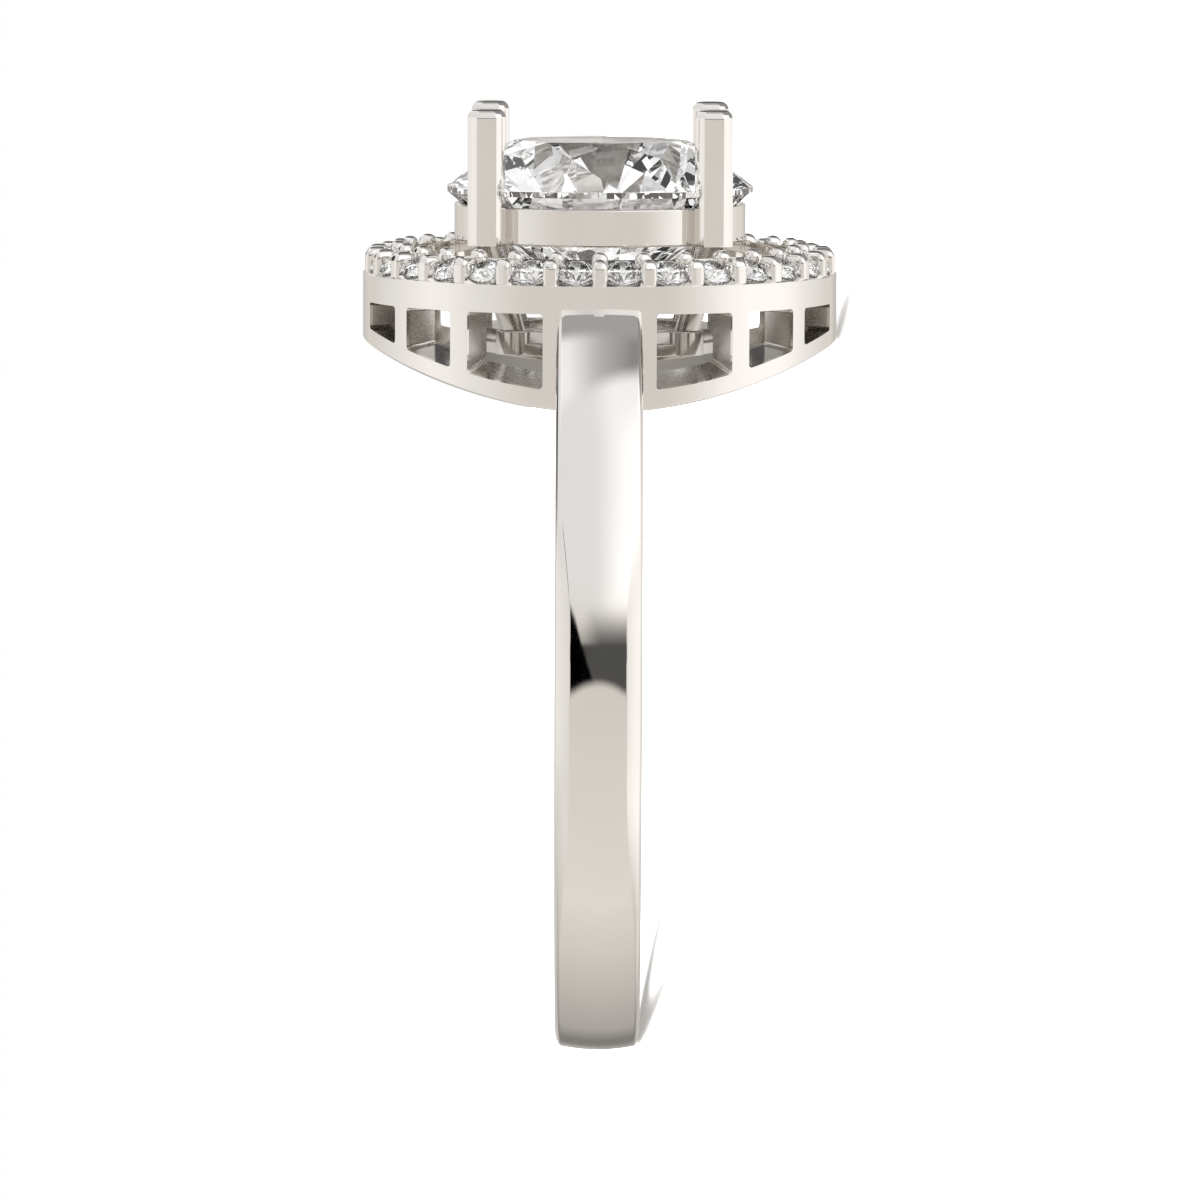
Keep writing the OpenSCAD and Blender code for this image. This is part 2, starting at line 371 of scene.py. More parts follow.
def gallery_mesh():
    """The wall as columns of points all the way round, left open between the columns of each window."""
    spans = [(round(a, 3), round(b, 3)) for a, b in window_spans()]
    edges = {v for span in spans for v in span}
    # Columns that draw each rounded corner, at equal steps round its arc
    insets = [math.degrees(WINDOW_CORNER_R * (1 - c) / GALLERY_R) for c, s in quarter_arc(CORNER_STEPS)]
    fine = {round(a + inset, 4) for a, b in spans for inset in insets}
    fine |= {round(b - inset, 4) for a, b in spans for inset in insets}
    plain = [float(turn) for turn in np.arange(0, 360, COLUMN_STEP)]
    coarse = {turn for turn in plain if all(abs(turn - f) > COLUMN_ROOM for f in fine)}
    turns = sorted(fine | coarse)
    # Rounded lower edge, from its foot to the wall's face: how far in, and how far up
    lower_edge = [(GALLERY_EDGE_R * (1 - s), GALLERY_EDGE_R * (1 - c)) for c, s in quarter_arc(EDGE_STEPS)]
    points = []
    for t in turns:
        from_end = [min(t - a, b - t) for a, b in spans if a <= t <= b]
        rise = corner_rise(math.radians(from_end[0]) * GALLERY_R) if from_end else 0.0
        foot = arch_height(GALLERY_R, t)
        for radius, height in [
            *((GALLERY_R - inset, foot + lift) for inset, lift in lower_edge),
            (GALLERY_R, arch_height(GALLERY_R, t, GALLERY_RAIL_H) + rise),
            (GALLERY_R, WINDOW_TOP_Z - rise),
            (GALLERY_R, RIM_TOP_Z),
            (HALO_INNER_R, RIM_TOP_Z + (GALLERY_R - HALO_INNER_R) * HALO_SLOPE),
            (HALO_INNER_R, RIM_TOP_Z - HALO_WALL_H),
            (GALLERY_INNER_R, WINDOW_TOP_Z - rise),
            (GALLERY_INNER_R, arch_height(GALLERY_INNER_R, t, GALLERY_RAIL_H) + rise),
            (GALLERY_INNER_R, arch_height(GALLERY_INNER_R, t)),
        ]:
            points.append(circle_point(radius, t, height))
    # Places in a column: the window's sill and head on the outer and on the inner face
    outer_sill = len(lower_edge)
    outer_head, inner_head, inner_sill = outer_sill + 1, outer_sill + 5, outer_sill + 6
    rows, columns = len(turns), outer_sill + 8
    faces = []
    for r in range(rows):
        here, after = r * columns, (r + 1) % rows * columns
        middle = (turns[r] + (turns[r + 1] if r + 1 < rows else 360)) / 2
        is_window = any(a < middle < b for a, b in spans)
        for c in range(columns):
            c2 = (c + 1) % columns
            if is_window and c in (outer_sill, inner_head):
                continue
            faces.append((here + c, here + c2, after + c2, after + c))
        if is_window:
            faces.append((here + outer_head, here + inner_head, after + inner_head, after + outer_head))
            faces.append((here + outer_sill, here + inner_sill, after + inner_sill, after + outer_sill))
    for t in edges:
        here = turns.index(t) * columns
        faces.append(tuple(here + c for c in (outer_sill, outer_head, inner_head, inner_sill)))
    return mesh_from("gallery", points, faces)


def stone_place(i):
    """Matrix that seats halo stone i, counted from 1."""
    return (
        Matrix.Rotation(math.radians(HALO_FRONT + (i - 0.5) * HALO_STEP), 4, "Z")
        @ Matrix.Translation((HALO_R, 0, HALO_Z))
        @ Matrix.Rotation(math.radians(HALO_TILT), 4, "Y")
        @ Matrix.Translation((0, 0, HALO_PROUD))
    )


def stone_room(diameter, gap, sides=64):
    """Points and faces of the round room that a brilliant of this diameter needs."""
    r = diameter / 2 + gap
    half_girdle = diameter * GIRDLE_SHARE / 2
    table_r = diameter / 2 * TABLE_SHARE + gap
    foot = -half_girdle - r * math.tan(math.radians(PAVILION_ANGLE))
    crown = half_girdle + (r - table_r) * math.tan(math.radians(CROWN_ANGLE))
    points = []
    for radius, height in [(r, -half_girdle), (r, half_girdle), (table_r, crown)]:
        points += [circle_point(radius, k * 360 / sides, height) for k in range(sides)]
    faces = grid_faces(3, sides, close_rows=False)
    points.append((0, 0, foot))
    faces += [(k, (k + 1) % sides, 3 * sides) for k in range(sides)]
    faces.append(tuple(range(2 * sides, 3 * sides)))
    return points, faces


def gallery():
    obj = add_object("gallery", gallery_mesh())
    bevel(obj, GALLERY_BEVEL)
    rooms = []
    for i in range(1, len(HALO_NODES) + 1):
        points, faces = stone_room(HALO_STONE_D, HALO_GAP, sides=32)
        rooms.append(([tuple(stone_place(i) @ Vector(p)) for p in points], faces))
    cut(obj, joined("rooms", rooms))
    polish(obj)
    # Polished outside; inside, rougher and darker in colour as painted shade
    return metal_piece(obj, gallery_gold)


def rounded_over(top_z, z, size):
    """How far a face has turned in at height z, where its top rounds over by size."""
    above = max(0.0, z - (top_z - size))
    return size - math.sqrt(max(0.0, size ** 2 - above ** 2))


def tombstone(bar, turn, sides=32, steps=10):
    """A radial bar with soft corners whose top rounds over on every side, at one place of the halo."""
    tallest = max(bar["round_side"], bar["round_out"], bar["round_in"])
    heights = [bar["low_z"]]
    heights += [bar["top_z"] - tallest * (1 - rise) for run, rise in quarter_arc(steps)]
    c, s = math.cos(math.radians(turn)), math.sin(math.radians(turn))
    points = []
    for z in heights:
        half_w = bar["width"] / 2 - rounded_over(bar["top_z"], z, bar["round_side"])
        outer = bar["outer_r"] - rounded_over(bar["top_z"], z, bar["round_out"])
        inner = bar["inner_r"] + rounded_over(bar["top_z"], z, bar["round_in"])
        for k in range(sides):
            u, v = math.cos(2 * math.pi * k / sides), math.sin(2 * math.pi * k / sides)
            soft = (abs(u) ** bar["squareness"] + abs(v) ** bar["squareness"]) ** (-1 / bar["squareness"])
            radius = (outer + inner) / 2 + (outer - inner) / 2 * u * soft
            y = max(half_w, LEAST_HALF_W) * v * soft
            points.append((radius * c - y * s, radius * s + y * c, z))
    faces = grid_faces(len(heights), sides, close_rows=False)
    last = (len(heights) - 1) * sides
    return points, faces + [tuple(range(sides)), tuple(range(last, last + sides))]


def halo_bars(name, bar):
    """One bar between every two stones, all round the halo."""
    parts = [tombstone(bar, HALO_FRONT + i * HALO_STEP) for i in range(len(HALO_NODES))]
    obj = add_object(name, joined(name, parts))
    polish(obj, sharp=60)
    return metal_piece(obj)


def revolve(outline, sides):
    """Points and faces of a closed outline of radius and height, turned about the head's axis."""
    points = [circle_point(r, k * 360 / sides, z) for k in range(sides) for r, z in outline]
    return points, grid_faces(sides, len(outline))


def basket_rail():
    """A round rail whose seat slopes as the stone's lower facets do."""
    slope = math.tan(math.radians(PAVILION_ANGLE))
    below_girdle = GIRDLE_Z - CENTRE_STONE_D * GIRDLE_SHARE / 2 - BASKET_TOP_Z
    seat_r = CENTRE_STONE_D / 2 + CENTRE_GAP - below_girdle / slope
    seat_low_z = BASKET_TOP_Z - (seat_r - BASKET_INNER_R) * slope
    outline = [
        (BASKET_R, BASKET_FOOT_Z),
        (BASKET_R, BASKET_TOP_Z),
        (seat_r, BASKET_TOP_Z),
        (BASKET_INNER_R, seat_low_z),
        (BASKET_INNER_R, BASKET_FOOT_Z),
    ]
    points, faces = revolve(outline, 360)
    obj = add_object("basket_rail", mesh_from("basket_rail", points, faces))
    bevel(obj, BASKET_BEVEL)
    polish(obj)
    return metal_piece(obj)


def prong_section():
    """Outline of a prong: four flat faces with broad, faintly rounded bevels between them."""
    corner = slope_profile(PRONG_SLOPES, steps=3)[1:]
    half = [(x, -PRONG_SIDE / 2 + drop) for x, drop in corner]
    half = [p for p in half if p[0] <= -p[1]]
    quarter = half + [(-y, -x) for x, y in reversed(half)]
    outline = []
    for turn in range(4):
        c, s = round(math.cos(turn * math.pi / 2)), round(math.sin(turn * math.pi / 2))
        outline += [(x * c - y * s, x * s + y * c) for x, y in quarter]
    return outline


def prong(name, x, y, steps=10):
    """A straight prong whose top rounds over all its faces, cut out round the centre stone."""
    outline = prong_section()
    levels = [(BASKET_FOOT_Z, 0.0)]
    levels += [(PRONG_TIP_Z - PRONG_TOP_R * (1 - s), PRONG_TOP_R * (1 - c)) for c, s in quarter_arc(steps)]
    points = []
    for z, inset in levels:
        share = 1 - 2 * inset / PRONG_SIDE
        points += [(x + px * share, y + py * share, z) for px, py in outline]
    count, last = len(outline), (len(levels) - 1) * len(outline)
    faces = grid_faces(len(levels), count, close_rows=False)
    faces += [tuple(range(count)), tuple(range(last, last + count))]
    obj = add_object(name, mesh_from(name, points, faces))
    room, room_faces = stone_room(CENTRE_STONE_D, CENTRE_GAP, sides=256)
    cut(obj, mesh_from("room", [(px, py, pz + GIRDLE_Z) for px, py, pz in room], room_faces))
    polish(obj)
    return metal_piece(obj)


def rod(start, end, radius, sides=48):
    """Points and faces of a round rod between two points."""
    start, end = Vector(start), Vector(end)
    turn = (end - start).to_track_quat("Z", "Y").to_matrix()
    circle = [turn @ Vector(circle_point(radius, k * 360 / sides, 0)) for k in range(sides)]
    points = [tuple(centre + spoke) for centre in (start, end) for spoke in circle]
    faces = grid_faces(2, sides, close_rows=False)
    return points, faces + [tuple(range(sides)), tuple(range(sides, 2 * sides))]


def base_ring():
    """The stepped ring, and the four legs on their lobes, in the rougher metal whose darker colour is
    painted shade.
    """
    step_z = BASE_LOW_Z + BASE_STEP_H
    top_z = step_z + BASE_STEP_H
    outline = [
        (BASE_R, BASE_LOW_Z),
        (BASE_R, step_z),
        (BASE_R - BASE_STEP_IN, step_z),
        (BASE_R - BASE_STEP_IN, top_z),
        (BASE_INNER_R, top_z),
        (BASE_INNER_R, BASE_LOW_Z),
    ]
    points, faces = revolve(outline, 240)
    obj = add_object("base_ring", mesh_from("base_ring", points, faces))
    bevel(obj, BASE_BEVEL)
    polish(obj)
    metal_piece(obj, shaded_inner_gold)
    parts = []
    for sx in (-1, 1):
        for sy in (-1, 1):
            foot = (sx * LOBE_PITCH, sy * LOBE_PITCH)
            top = (sx * PRONG_PITCH, sy * PRONG_PITCH, BASKET_FOOT_Z + LEG_SUNK)
            parts.append(rod((*foot, BASE_LOW_Z), (*foot, top_z), LOBE_R))
            parts.append(rod((*foot, step_z), top, LEG_R))
    obj = add_object("basket_legs", joined("basket_legs", parts))
    bevel(obj, LEG_BEVEL)
    polish(obj)
    metal_piece(obj, shaded_inner_gold)


# Stones

def brilliant(diameter, girdle_sides=8):
    """Points and faces of a round brilliant, its girdle's middle at the origin."""
    r = diameter / 2
    half_girdle = diameter * GIRDLE_SHARE / 2
    crown, pavilion = math.tan(math.radians(CROWN_ANGLE)), math.tan(math.radians(PAVILION_ANGLE))
    step = 360 / MAIN_FACETS
    around = range(MAIN_FACETS)
    half_turn = math.cos(math.radians(step / 2))
    table_r = r * TABLE_SHARE
    star_r = table_r * half_turn + STAR_LENGTH * (r - table_r * half_turn)
    lower_r = r * (1 - LOWER_HALF_LENGTH)
    table_z = half_girdle + (r - table_r) * crown
    star_z = half_girdle + (r - star_r * half_turn) * crown
    lower_z = -half_girdle - (r - lower_r * half_turn) * pavilion
    table = [circle_point(table_r, step * k, table_z) for k in around]
    stars = [circle_point(star_r, step * (k + 0.5), star_z) for k in around]
    count = 2 * girdle_sides * MAIN_FACETS
    upper = [circle_point(r, 360 * k / count, half_girdle) for k in range(count)]
    lower = [circle_point(r, 360 * k / count, -half_girdle) for k in range(count)]
    tips = [circle_point(lower_r, step * (k + 0.5), lower_z) for k in around]
    culet = [(0, 0, -half_girdle - r * pavilion)]
    points = table + stars + upper + lower + tips + culet
    # Where the stars, the girdle's upper and lower edge, the tips and the culet start in that list
    s0, u0 = MAIN_FACETS, 2 * MAIN_FACETS
    l0, t0 = u0 + count, u0 + 2 * count
    c0 = t0 + MAIN_FACETS
    faces = [tuple(around)]
    for k in around:
        after, before = (k + 1) % MAIN_FACETS, (k - 1) % MAIN_FACETS
        main, half, following = 2 * k * girdle_sides, (2 * k + 1) * girdle_sides, (2 * k + 2) * girdle_sides
        faces.append((k, after, s0 + k))
        faces.append((k, s0 + k, u0 + main, s0 + before))
        faces.append((c0, t0 + before, l0 + main, t0 + k))
        for first, last in ((main, half), (half, following)):
            run = [i % count for i in range(first, last + 1)]
            faces.append((s0 + k, *(u0 + i for i in run)))
            faces.append((t0 + k, *(l0 + i for i in run)))
    for i in range(count):
        faces.append((u0 + i, u0 + (i + 1) % count, l0 + (i + 1) % count, l0 + i))
    return points, faces


def facet(obj):
    """Shades every facet flat."""
    mesh = obj.data
    mesh.polygons.foreach_set("use_smooth", np.zeros(len(mesh.polygons), bool))


def centre_stone():
    points, faces = brilliant(CENTRE_STONE_D)
    obj = add_object("centre_brilliant", mesh_from("centre_brilliant", points, faces))
    facet(obj)
    turn = Matrix.Rotation(math.radians(CENTRE_STONE_TURN), 4, "Z")
    obj.data.transform(Matrix.Translation((0, 0, GIRDLE_Z)) @ turn)
    return place(obj, centre_gem, "centre_gem", "centre_stone")


def halo_stones():
    points, faces = brilliant(HALO_STONE_D, girdle_sides=2)
    for i, node in enumerate(HALO_NODES, 1):
        name = node.replace("stone", "brilliant")
        obj = add_object(name, mesh_from(name, points, faces))
        facet(obj)
        obj.data.transform(stone_place(i))
        place(obj, halo_gem, "halo_gem", node)


# Materials

def node_tree(owner):
    owner.use_nodes = True
    tree = owner.node_tree
    tree.nodes.clear()
    return tree


def add(tree, kind, **settings):
    node = tree.nodes.new(kind)
    for key, value in settings.items():
        setattr(node, key, value)
    return node


def connect(tree, value, socket):
    """Sets a socket to a plain number or vector, or links another node's output to it."""
    if isinstance(value, bpy.types.NodeSocket):
        tree.links.new(value, socket)
    else:
        socket.default_value = value


def value_math(tree, operation, *values):
    node = add(tree, "ShaderNodeMath", operation=operation)
    for value, socket in zip(values, node.inputs):
        connect(tree, value, socket)
    return node.outputs["Value"]


def vector_math(tree, operation, *vectors, output="Vector"):
    node = add(tree, "ShaderNodeVectorMath", operation=operation)
    for vector, socket in zip(vectors, node.inputs):
        connect(tree, vector, socket)
    return node.outputs[output]


def mixed(tree, kind, share, first, second):
    """Part of the way from one number or colour to another; kind is FLOAT or RGBA."""
    node = add(tree, "ShaderNodeMix", data_type=kind)
    for name, value in (("Factor", share), ("A", first), ("B", second)):
        connect(tree, value, node.inputs[name])
    return node.outputs["Result"]


def mixed_shaders(tree, share, first, second):
    node = add(tree, "ShaderNodeMixShader")
    for value, socket in zip((share, first, second), node.inputs):
        connect(tree, value, socket)
    return node.outputs["Shader"]


def add_output(tree, kind, shader):
    """Ends a material or world in its output node."""
    tree.links.new(shader, add(tree, kind).inputs["Surface"])


def noise(tree, scale, detail, stretch=(1, 1, 1)):
    """Noise over the object's own coordinates; scale is per millimetre."""
    place_node = add(tree, "ShaderNodeTexCoord")
    mapping = add(tree, "ShaderNodeMapping")
    mapping.inputs["Scale"].default_value = [v / MM for v in stretch]
    texture = add(tree, "ShaderNodeTexNoise")
    texture.inputs["Scale"].default_value = scale
    texture.inputs["Detail"].default_value = detail
    tree.links.new(place_node.outputs["Object"], mapping.inputs["Vector"])
    tree.links.new(mapping.outputs["Vector"], texture.inputs["Vector"])
    return texture.outputs["Fac"]


# Range that nearly all of a noise's values lie in
NOISE_MIDDLE = (0.3, 0.7)


def spread(tree, value, low, high):
    """Spreads a noise's middle range between two values."""
    node = add(tree, "ShaderNodeMapRange")
    node.inputs["From Min"].default_value = NOISE_MIDDLE[0]
    node.inputs["From Max"].default_value = NOISE_MIDDLE[1]
    node.inputs["To Min"].default_value = low
    node.inputs["To Max"].default_value = high
    tree.links.new(value, node.inputs["Value"])
    return node.outputs["Result"]


def smooth_ramp(tree, value, start, end):
    """0 before start, 1 past end, smooth between them. Start may be the larger one."""
    node = add(tree, "ShaderNodeMapRange", interpolation_type="SMOOTHSTEP")
    node.inputs["From Min"].default_value = min(start, end)
    node.inputs["From Max"].default_value = max(start, end)
    node.inputs["To Min"].default_value = 0.0 if start < end else 1.0
    node.inputs["To Max"].default_value = 1.0 if start < end else 0.0
    tree.links.new(value, node.inputs["Value"])
    return node.outputs["Result"]


def product(tree, masks):
    """All the masks multiplied."""
    result = masks[0]
    for mask in masks[1:]:
        result = value_math(tree, "MULTIPLY", result, mask)
    return result


def bump(tree, height, depth_mm, strength):
    node = add(tree, "ShaderNodeBump")
    node.inputs["Strength"].default_value = strength
    node.inputs["Distance"].default_value = depth_mm * MM
    tree.links.new(height, node.inputs["Height"])
    return node.outputs["Normal"]


# Finishes of the metal: its lighter and darker tone, and the least and the most of its roughness. The dull
# one is rougher, and its much darker tones are painted shade for the recesses deep in the head.
POLISHED = {"tones": [(0.84, 0.818, 0.792, 1), (0.825, 0.803, 0.776, 1)], "roughness": (0.03, 0.06)}
DULL_AND_SHADED = {"tones": [(0.6, 0.58, 0.555, 1), (0.55, 0.53, 0.505, 1)], "roughness": (0.1, 0.18)}
# Least and most roughness of a stone's polish
STONE_ROUGHNESS = (0.0, 0.001)
# The dull finish of the gallery, with its painted shade, starts this far behind its outer face, and ends
# this far over its windows
DULL_SHADE_DEPTH = 0.08
DULL_SHADE_OVER_WINDOWS = 0.1


def inside_gallery(tree):
    """Mask of the painted shade: 1 within the gallery's wall and below its halo, 0 on its outer face and
    above.
    """
    spot = add(tree, "ShaderNodeTexCoord").outputs["Object"]
    offset = vector_math(tree, "SUBTRACT", spot, hole["pos_m"])
    from_axis = vector_math(tree, "CROSS_PRODUCT", offset, UP)
    from_axis = vector_math(tree, "LENGTH", from_axis, output="Value")
    height = vector_math(tree, "DOT_PRODUCT", offset, UP, output="Value")
    behind_face = value_math(tree, "LESS_THAN", from_axis, (GALLERY_R - DULL_SHADE_DEPTH) * MM)
    below_halo = value_math(tree, "LESS_THAN", height, (WINDOW_TOP_Z + DULL_SHADE_OVER_WINDOWS) * MM)
    return value_math(tree, "MULTIPLY", behind_face, below_halo)


def metal_finish(tree, finish):
    """Colour and roughness that both drift a little over the surface."""
    clouds = spread(tree, noise(tree, scale=0.8, detail=3), 0, 1)
    colour = mixed(tree, "RGBA", clouds, *finish["tones"])
    return colour, spread(tree, noise(tree, scale=2.5, detail=4), *finish["roughness"])


def metal_material(name, finish, inner_shaded_finish=None):
    """Warm white gold: faint cloudy polish and hairline wear, with another finish inside the gallery that is
    rougher and darker, the darkness being painted shade.
    """
    material = bpy.data.materials.new(name)
    tree = node_tree(material)
    colour, roughness = metal_finish(tree, finish)
    if inner_shaded_finish:
        # Inside the gallery the colour turns darker, as painted shade, and the polish rougher
        inside = inside_gallery(tree)
        inner_shaded_colour, inner_roughness = metal_finish(tree, inner_shaded_finish)
        colour = mixed(tree, "RGBA", inside, colour, inner_shaded_colour)
        roughness = mixed(tree, "FLOAT", inside, roughness, inner_roughness)
    hairlines = noise(tree, scale=1.0, detail=2, stretch=(12, 2.5, 5))
    shader = add(tree, "ShaderNodeBsdfPrincipled")
    shader.inputs["Metallic"].default_value = 1.0
    tree.links.new(colour, shader.inputs["Base Color"])
    tree.links.new(roughness, shader.inputs["Roughness"])
    tree.links.new(bump(tree, hairlines, depth_mm=0.0002, strength=0.1), shader.inputs["Normal"])
    add_output(tree, "ShaderNodeOutputMaterial", shader.outputs["BSDF"])
    return material


def gem_material(name, tint, grain):
    """Clear, high-index stone with the faintest polishing grain."""
    material = bpy.data.materials.new(name)
    tree = node_tree(material)
    clouds = spread(tree, noise(tree, scale=grain, detail=2), 0, 1)
    polish_grain = spread(tree, noise(tree, scale=4 * grain, detail=2), *STONE_ROUGHNESS)
    shader = add(tree, "ShaderNodeBsdfPrincipled")
    shader.inputs["IOR"].default_value = 2.42
    shader.inputs["Transmission Weight"].default_value = 1.0
    tree.links.new(mixed(tree, "RGBA", clouds, (1, 1, 1, 1), (*tint, 1)), shader.inputs["Base Color"])
    tree.links.new(polish_grain, shader.inputs["Roughness"])
    add_output(tree, "ShaderNodeOutputMaterial", shader.outputs["BSDF"])
    return material


def floor_material():
    material = bpy.data.materials.new("pale_floor")
    tree = node_tree(material)
    shader = add(tree, "ShaderNodeBsdfPrincipled")
    shader.inputs["Base Color"].default_value = (0.86, 0.86, 0.86, 1)
    shader.inputs["Roughness"].default_value = 0.9
    shader.inputs["Specular IOR Level"].default_value = 0.0
    add_output(tree, "ShaderNodeOutputMaterial", shader.outputs["BSDF"])
    return material


white_gold = metal_material("white_gold", POLISHED)
# The gallery's inside, the base ring and its legs are rougher, and darker in colour as painted shade
gallery_gold = metal_material("gallery_gold", POLISHED, DULL_AND_SHADED)
shaded_inner_gold = metal_material("shaded_inner_gold", DULL_AND_SHADED)
centre_gem = gem_material("centre_gem", (0.985, 0.985, 0.99), 1.0)
halo_gem = gem_material("halo_gem", (0.98, 0.985, 0.99), 3.0)

shank()
gallery()
halo_bars("halo_claws", CLAW)
halo_bars("halo_beads", BEAD)
basket_rail()
for number, (sx, sy) in enumerate(((-1, -1), (1, -1), (1, 1), (-1, 1)), 1):
    prong(f"prong_{number}", sx * PRONG_PITCH, sy * PRONG_PITCH)
base_ring()
centre_stone()
halo_stones()


# Studio: the surroundings that the metal and the stones mirror, given by direction in the ring's axes

class Sky:
    """Brightness by direction: its axes, and ramps and curves along them."""

    # Brightest value that a curve of stops can hold
    BRIGHTEST = 2.0

    def __init__(self, tree):
        self.tree = tree
        direction = add(tree, "ShaderNodeTexCoord").outputs["Generated"]
        self.side, self.front, self.rise = (
            vector_math(tree, "DOT_PRODUCT", direction, axis, output="Value") for axis in (ALONG, -BACK, UP)
        )
        self.sideways = self.math("ABSOLUTE", self.side)

    def math(self, operation, *values):
        return value_math(self.tree, operation, *values)

    def degrees_from_front(self, side):
        return self.math("MULTIPLY", self.math("ARCTAN2", side, self.front), 180 / math.pi)

    def ramp(self, value, start, end):
        return smooth_ramp(self.tree, value, start, end)

    def curve(self, value, stops):
        """Brightness that runs straight from stop to stop, each a place and a brightness."""
        low, high = stops[0][0], stops[-1][0]
        share = add(self.tree, "ShaderNodeMapRange")
        share.inputs["From Min"].default_value = low
        share.inputs["From Max"].default_value = high
        self.tree.links.new(value, share.inputs["Value"])
        node = add(self.tree, "ShaderNodeValToRGB")
        elements = node.color_ramp.elements
        elements.remove(elements[1])
        for k, (place_at, brightness) in enumerate(stops):
            element = elements[0] if k == 0 else elements.new((place_at - low) / (high - low))
            element.position = (place_at - low) / (high - low)
            element.color = [brightness / self.BRIGHTEST] * 3 + [1]
        self.tree.links.new(share.outputs["Result"], node.inputs["Fac"])
        return self.math("MULTIPLY", node.outputs["Color"], self.BRIGHTEST)


# Tints of the mirrored light: warm at the horizon, and neutral higher up and half of the way at the sides
WARM = (1.0, 0.955, 0.9, 1)
NEUTRAL = (1.0, 1.0, 1.0, 1)
NEUTRAL_RISE = (0.05, 0.4)
NEUTRAL_SIDES = (0.6, 0.85)

# Brightness of the wall round the ring: degrees from the front towards the right, then brightness
WALL = [
    (-180, 0.6), (-165, 0.62), (-157, 0.7), (-150, 0.76), (-141, 0.77), (-115, 0.92), (-91, 1.07),
    (-79, 1.04), (-65, 0.93), (-52, 0.86), (-39, 0.79), (-32, 0.76), (32, 0.76), (44, 0.86), (50, 0.93),
    (57, 1.02), (64, 1.12), (78, 1.2), (98, 1.2), (106, 1.14), (113, 1.05), (124, 0.94), (138, 0.83),
    (152, 0.78), (160, 0.62), (180, 0.5),
]
# Brightness straight overhead, from the left to the right
OVERHEAD = [
    (-1, 0.85), (-0.46, 0.92), (-0.34, 1.22), (-0.17, 1.0), (-0.04, 0.635), (0.02, 0.51), (0.12, 0.39),
    (0.18, 0.3), (1, 0.36),
]
# Brightness of the ground, from behind the ring to its front
GROUND = [
    (-1, 0.36), (-0.9, 0.24), (-0.83, 0.24), (-0.7, 0.45), (-0.4, 0.58), (0, 0.75), (0.3, 0.87), (0.9, 0.79),
    (1, 0.76),
]
# The ground starts lower on the right, and the overhead light starts farther back there
GROUND_RIGHT = (0.35, 0.65)
GROUND_DROP = 0.27
OVERHEAD_SLANT = 0.4

# Parts of the mirrored sky, each laid over those before it: its brightness, or an axis and the curve along
# it, and its bounds. A bound says where the part begins and is full along an axis, and with four numbers
# also where it starts to fade and is gone.
SKY_PARTS = [
    # The ground: pale in front, dark far behind
    (("front", GROUND), {"lowered": (-0.2, -0.5)}),
    # Above: a large soft light, brighter to the right, that turns darker to the right overhead
    (0.88, {"rise": (0.06, 0.32), "side": (-0.95, -0.6)}),
    (1.28, {"rise": (0.06, 0.32), "side": (-0.06, 0.25)}),
    (1.08, {"rise": (0.85, 0.97), "side": (-0.1, 0.2)}),
    (("side", OVERHEAD), {"rise": (0.06, 0.32), "slanted": (0.26, 0.12)}),
    # High up in the middle it gets dark towards the back
    (0.42, {"rise": (0.4, 0.55), "sideways": (0.38, 0.28), "front": (-0.06, -0.17)}),
    (0.12, {"rise": (0.4, 0.55), "sideways": (0.38, 0.28), "front": (-0.3, -0.42)}),
    # A dark corner behind on the left
    (0.05, {"rise": (0.02, 0.08, 0.42, 0.5), "side": (-0.52, -0.6), "front": (-0.38, -0.46)}),
    # Two dark gaps: a small one on the left, and one low straight in front
    (0.2, {"rise": (0.2, 0.3, 0.46, 0.56), "side": (-0.62, -0.56, -0.44, -0.38), "front": (0, 0.1)}),
    (0.03, {"rise": (-0.03, -0.01, 0.05, 0.08), "sideways": (0.5, 0.4), "front": (0.5, 0.7)}),
]

# Brightness of the light tent that the stones see through their facets: by degrees from the front, to
# either side, and its share by height, from straight below to straight above
TENT = [
    (0, 1.1), (18, 1.4), (42, 1.4), (55, 0.6), (68, 0.65), (80, 1.4), (118, 1.4), (134, 0.7), (148, 0.7),
    (160, 1.5), (180, 1.4),
]
TENT_HEIGHT = [(-1, 0.6), (-0.4, 0.9), (0, 1), (0.55, 1.15), (0.8, 1.15), (0.9, 0.75), (1, 0.7)]


def mirrored_sky(tree):
    """What the metal mirrors: a wall of light all round, with the other parts laid over it."""
    sky = Sky(tree)
    drop = sky.math("MULTIPLY", sky.ramp(sky.side, *GROUND_RIGHT), GROUND_DROP)
    axes = {
        "side": sky.side,
        "front": sky.front,
        "rise": sky.rise,
        "sideways": sky.sideways,
        "lowered": sky.math("ADD", sky.rise, drop),
        "slanted": sky.math("ADD", sky.front, sky.math("MULTIPLY", sky.side, OVERHEAD_SLANT)),
    }
    brightness = sky.curve(sky.degrees_from_front(sky.side), WALL)
    for part, bounds in SKY_PARTS:
        masks = []
        for axis, places in bounds.items():
            masks.append(sky.ramp(axes[axis], *places[:2]))
            if len(places) == 4:
                masks.append(sky.ramp(axes[axis], places[3], places[2]))
        if isinstance(part, tuple):
            axis, stops = part
            part = sky.curve(axes[axis], stops)
        brightness = mixed(tree, "FLOAT", product(tree, masks), brightness, part)
    return tinted(sky, brightness)


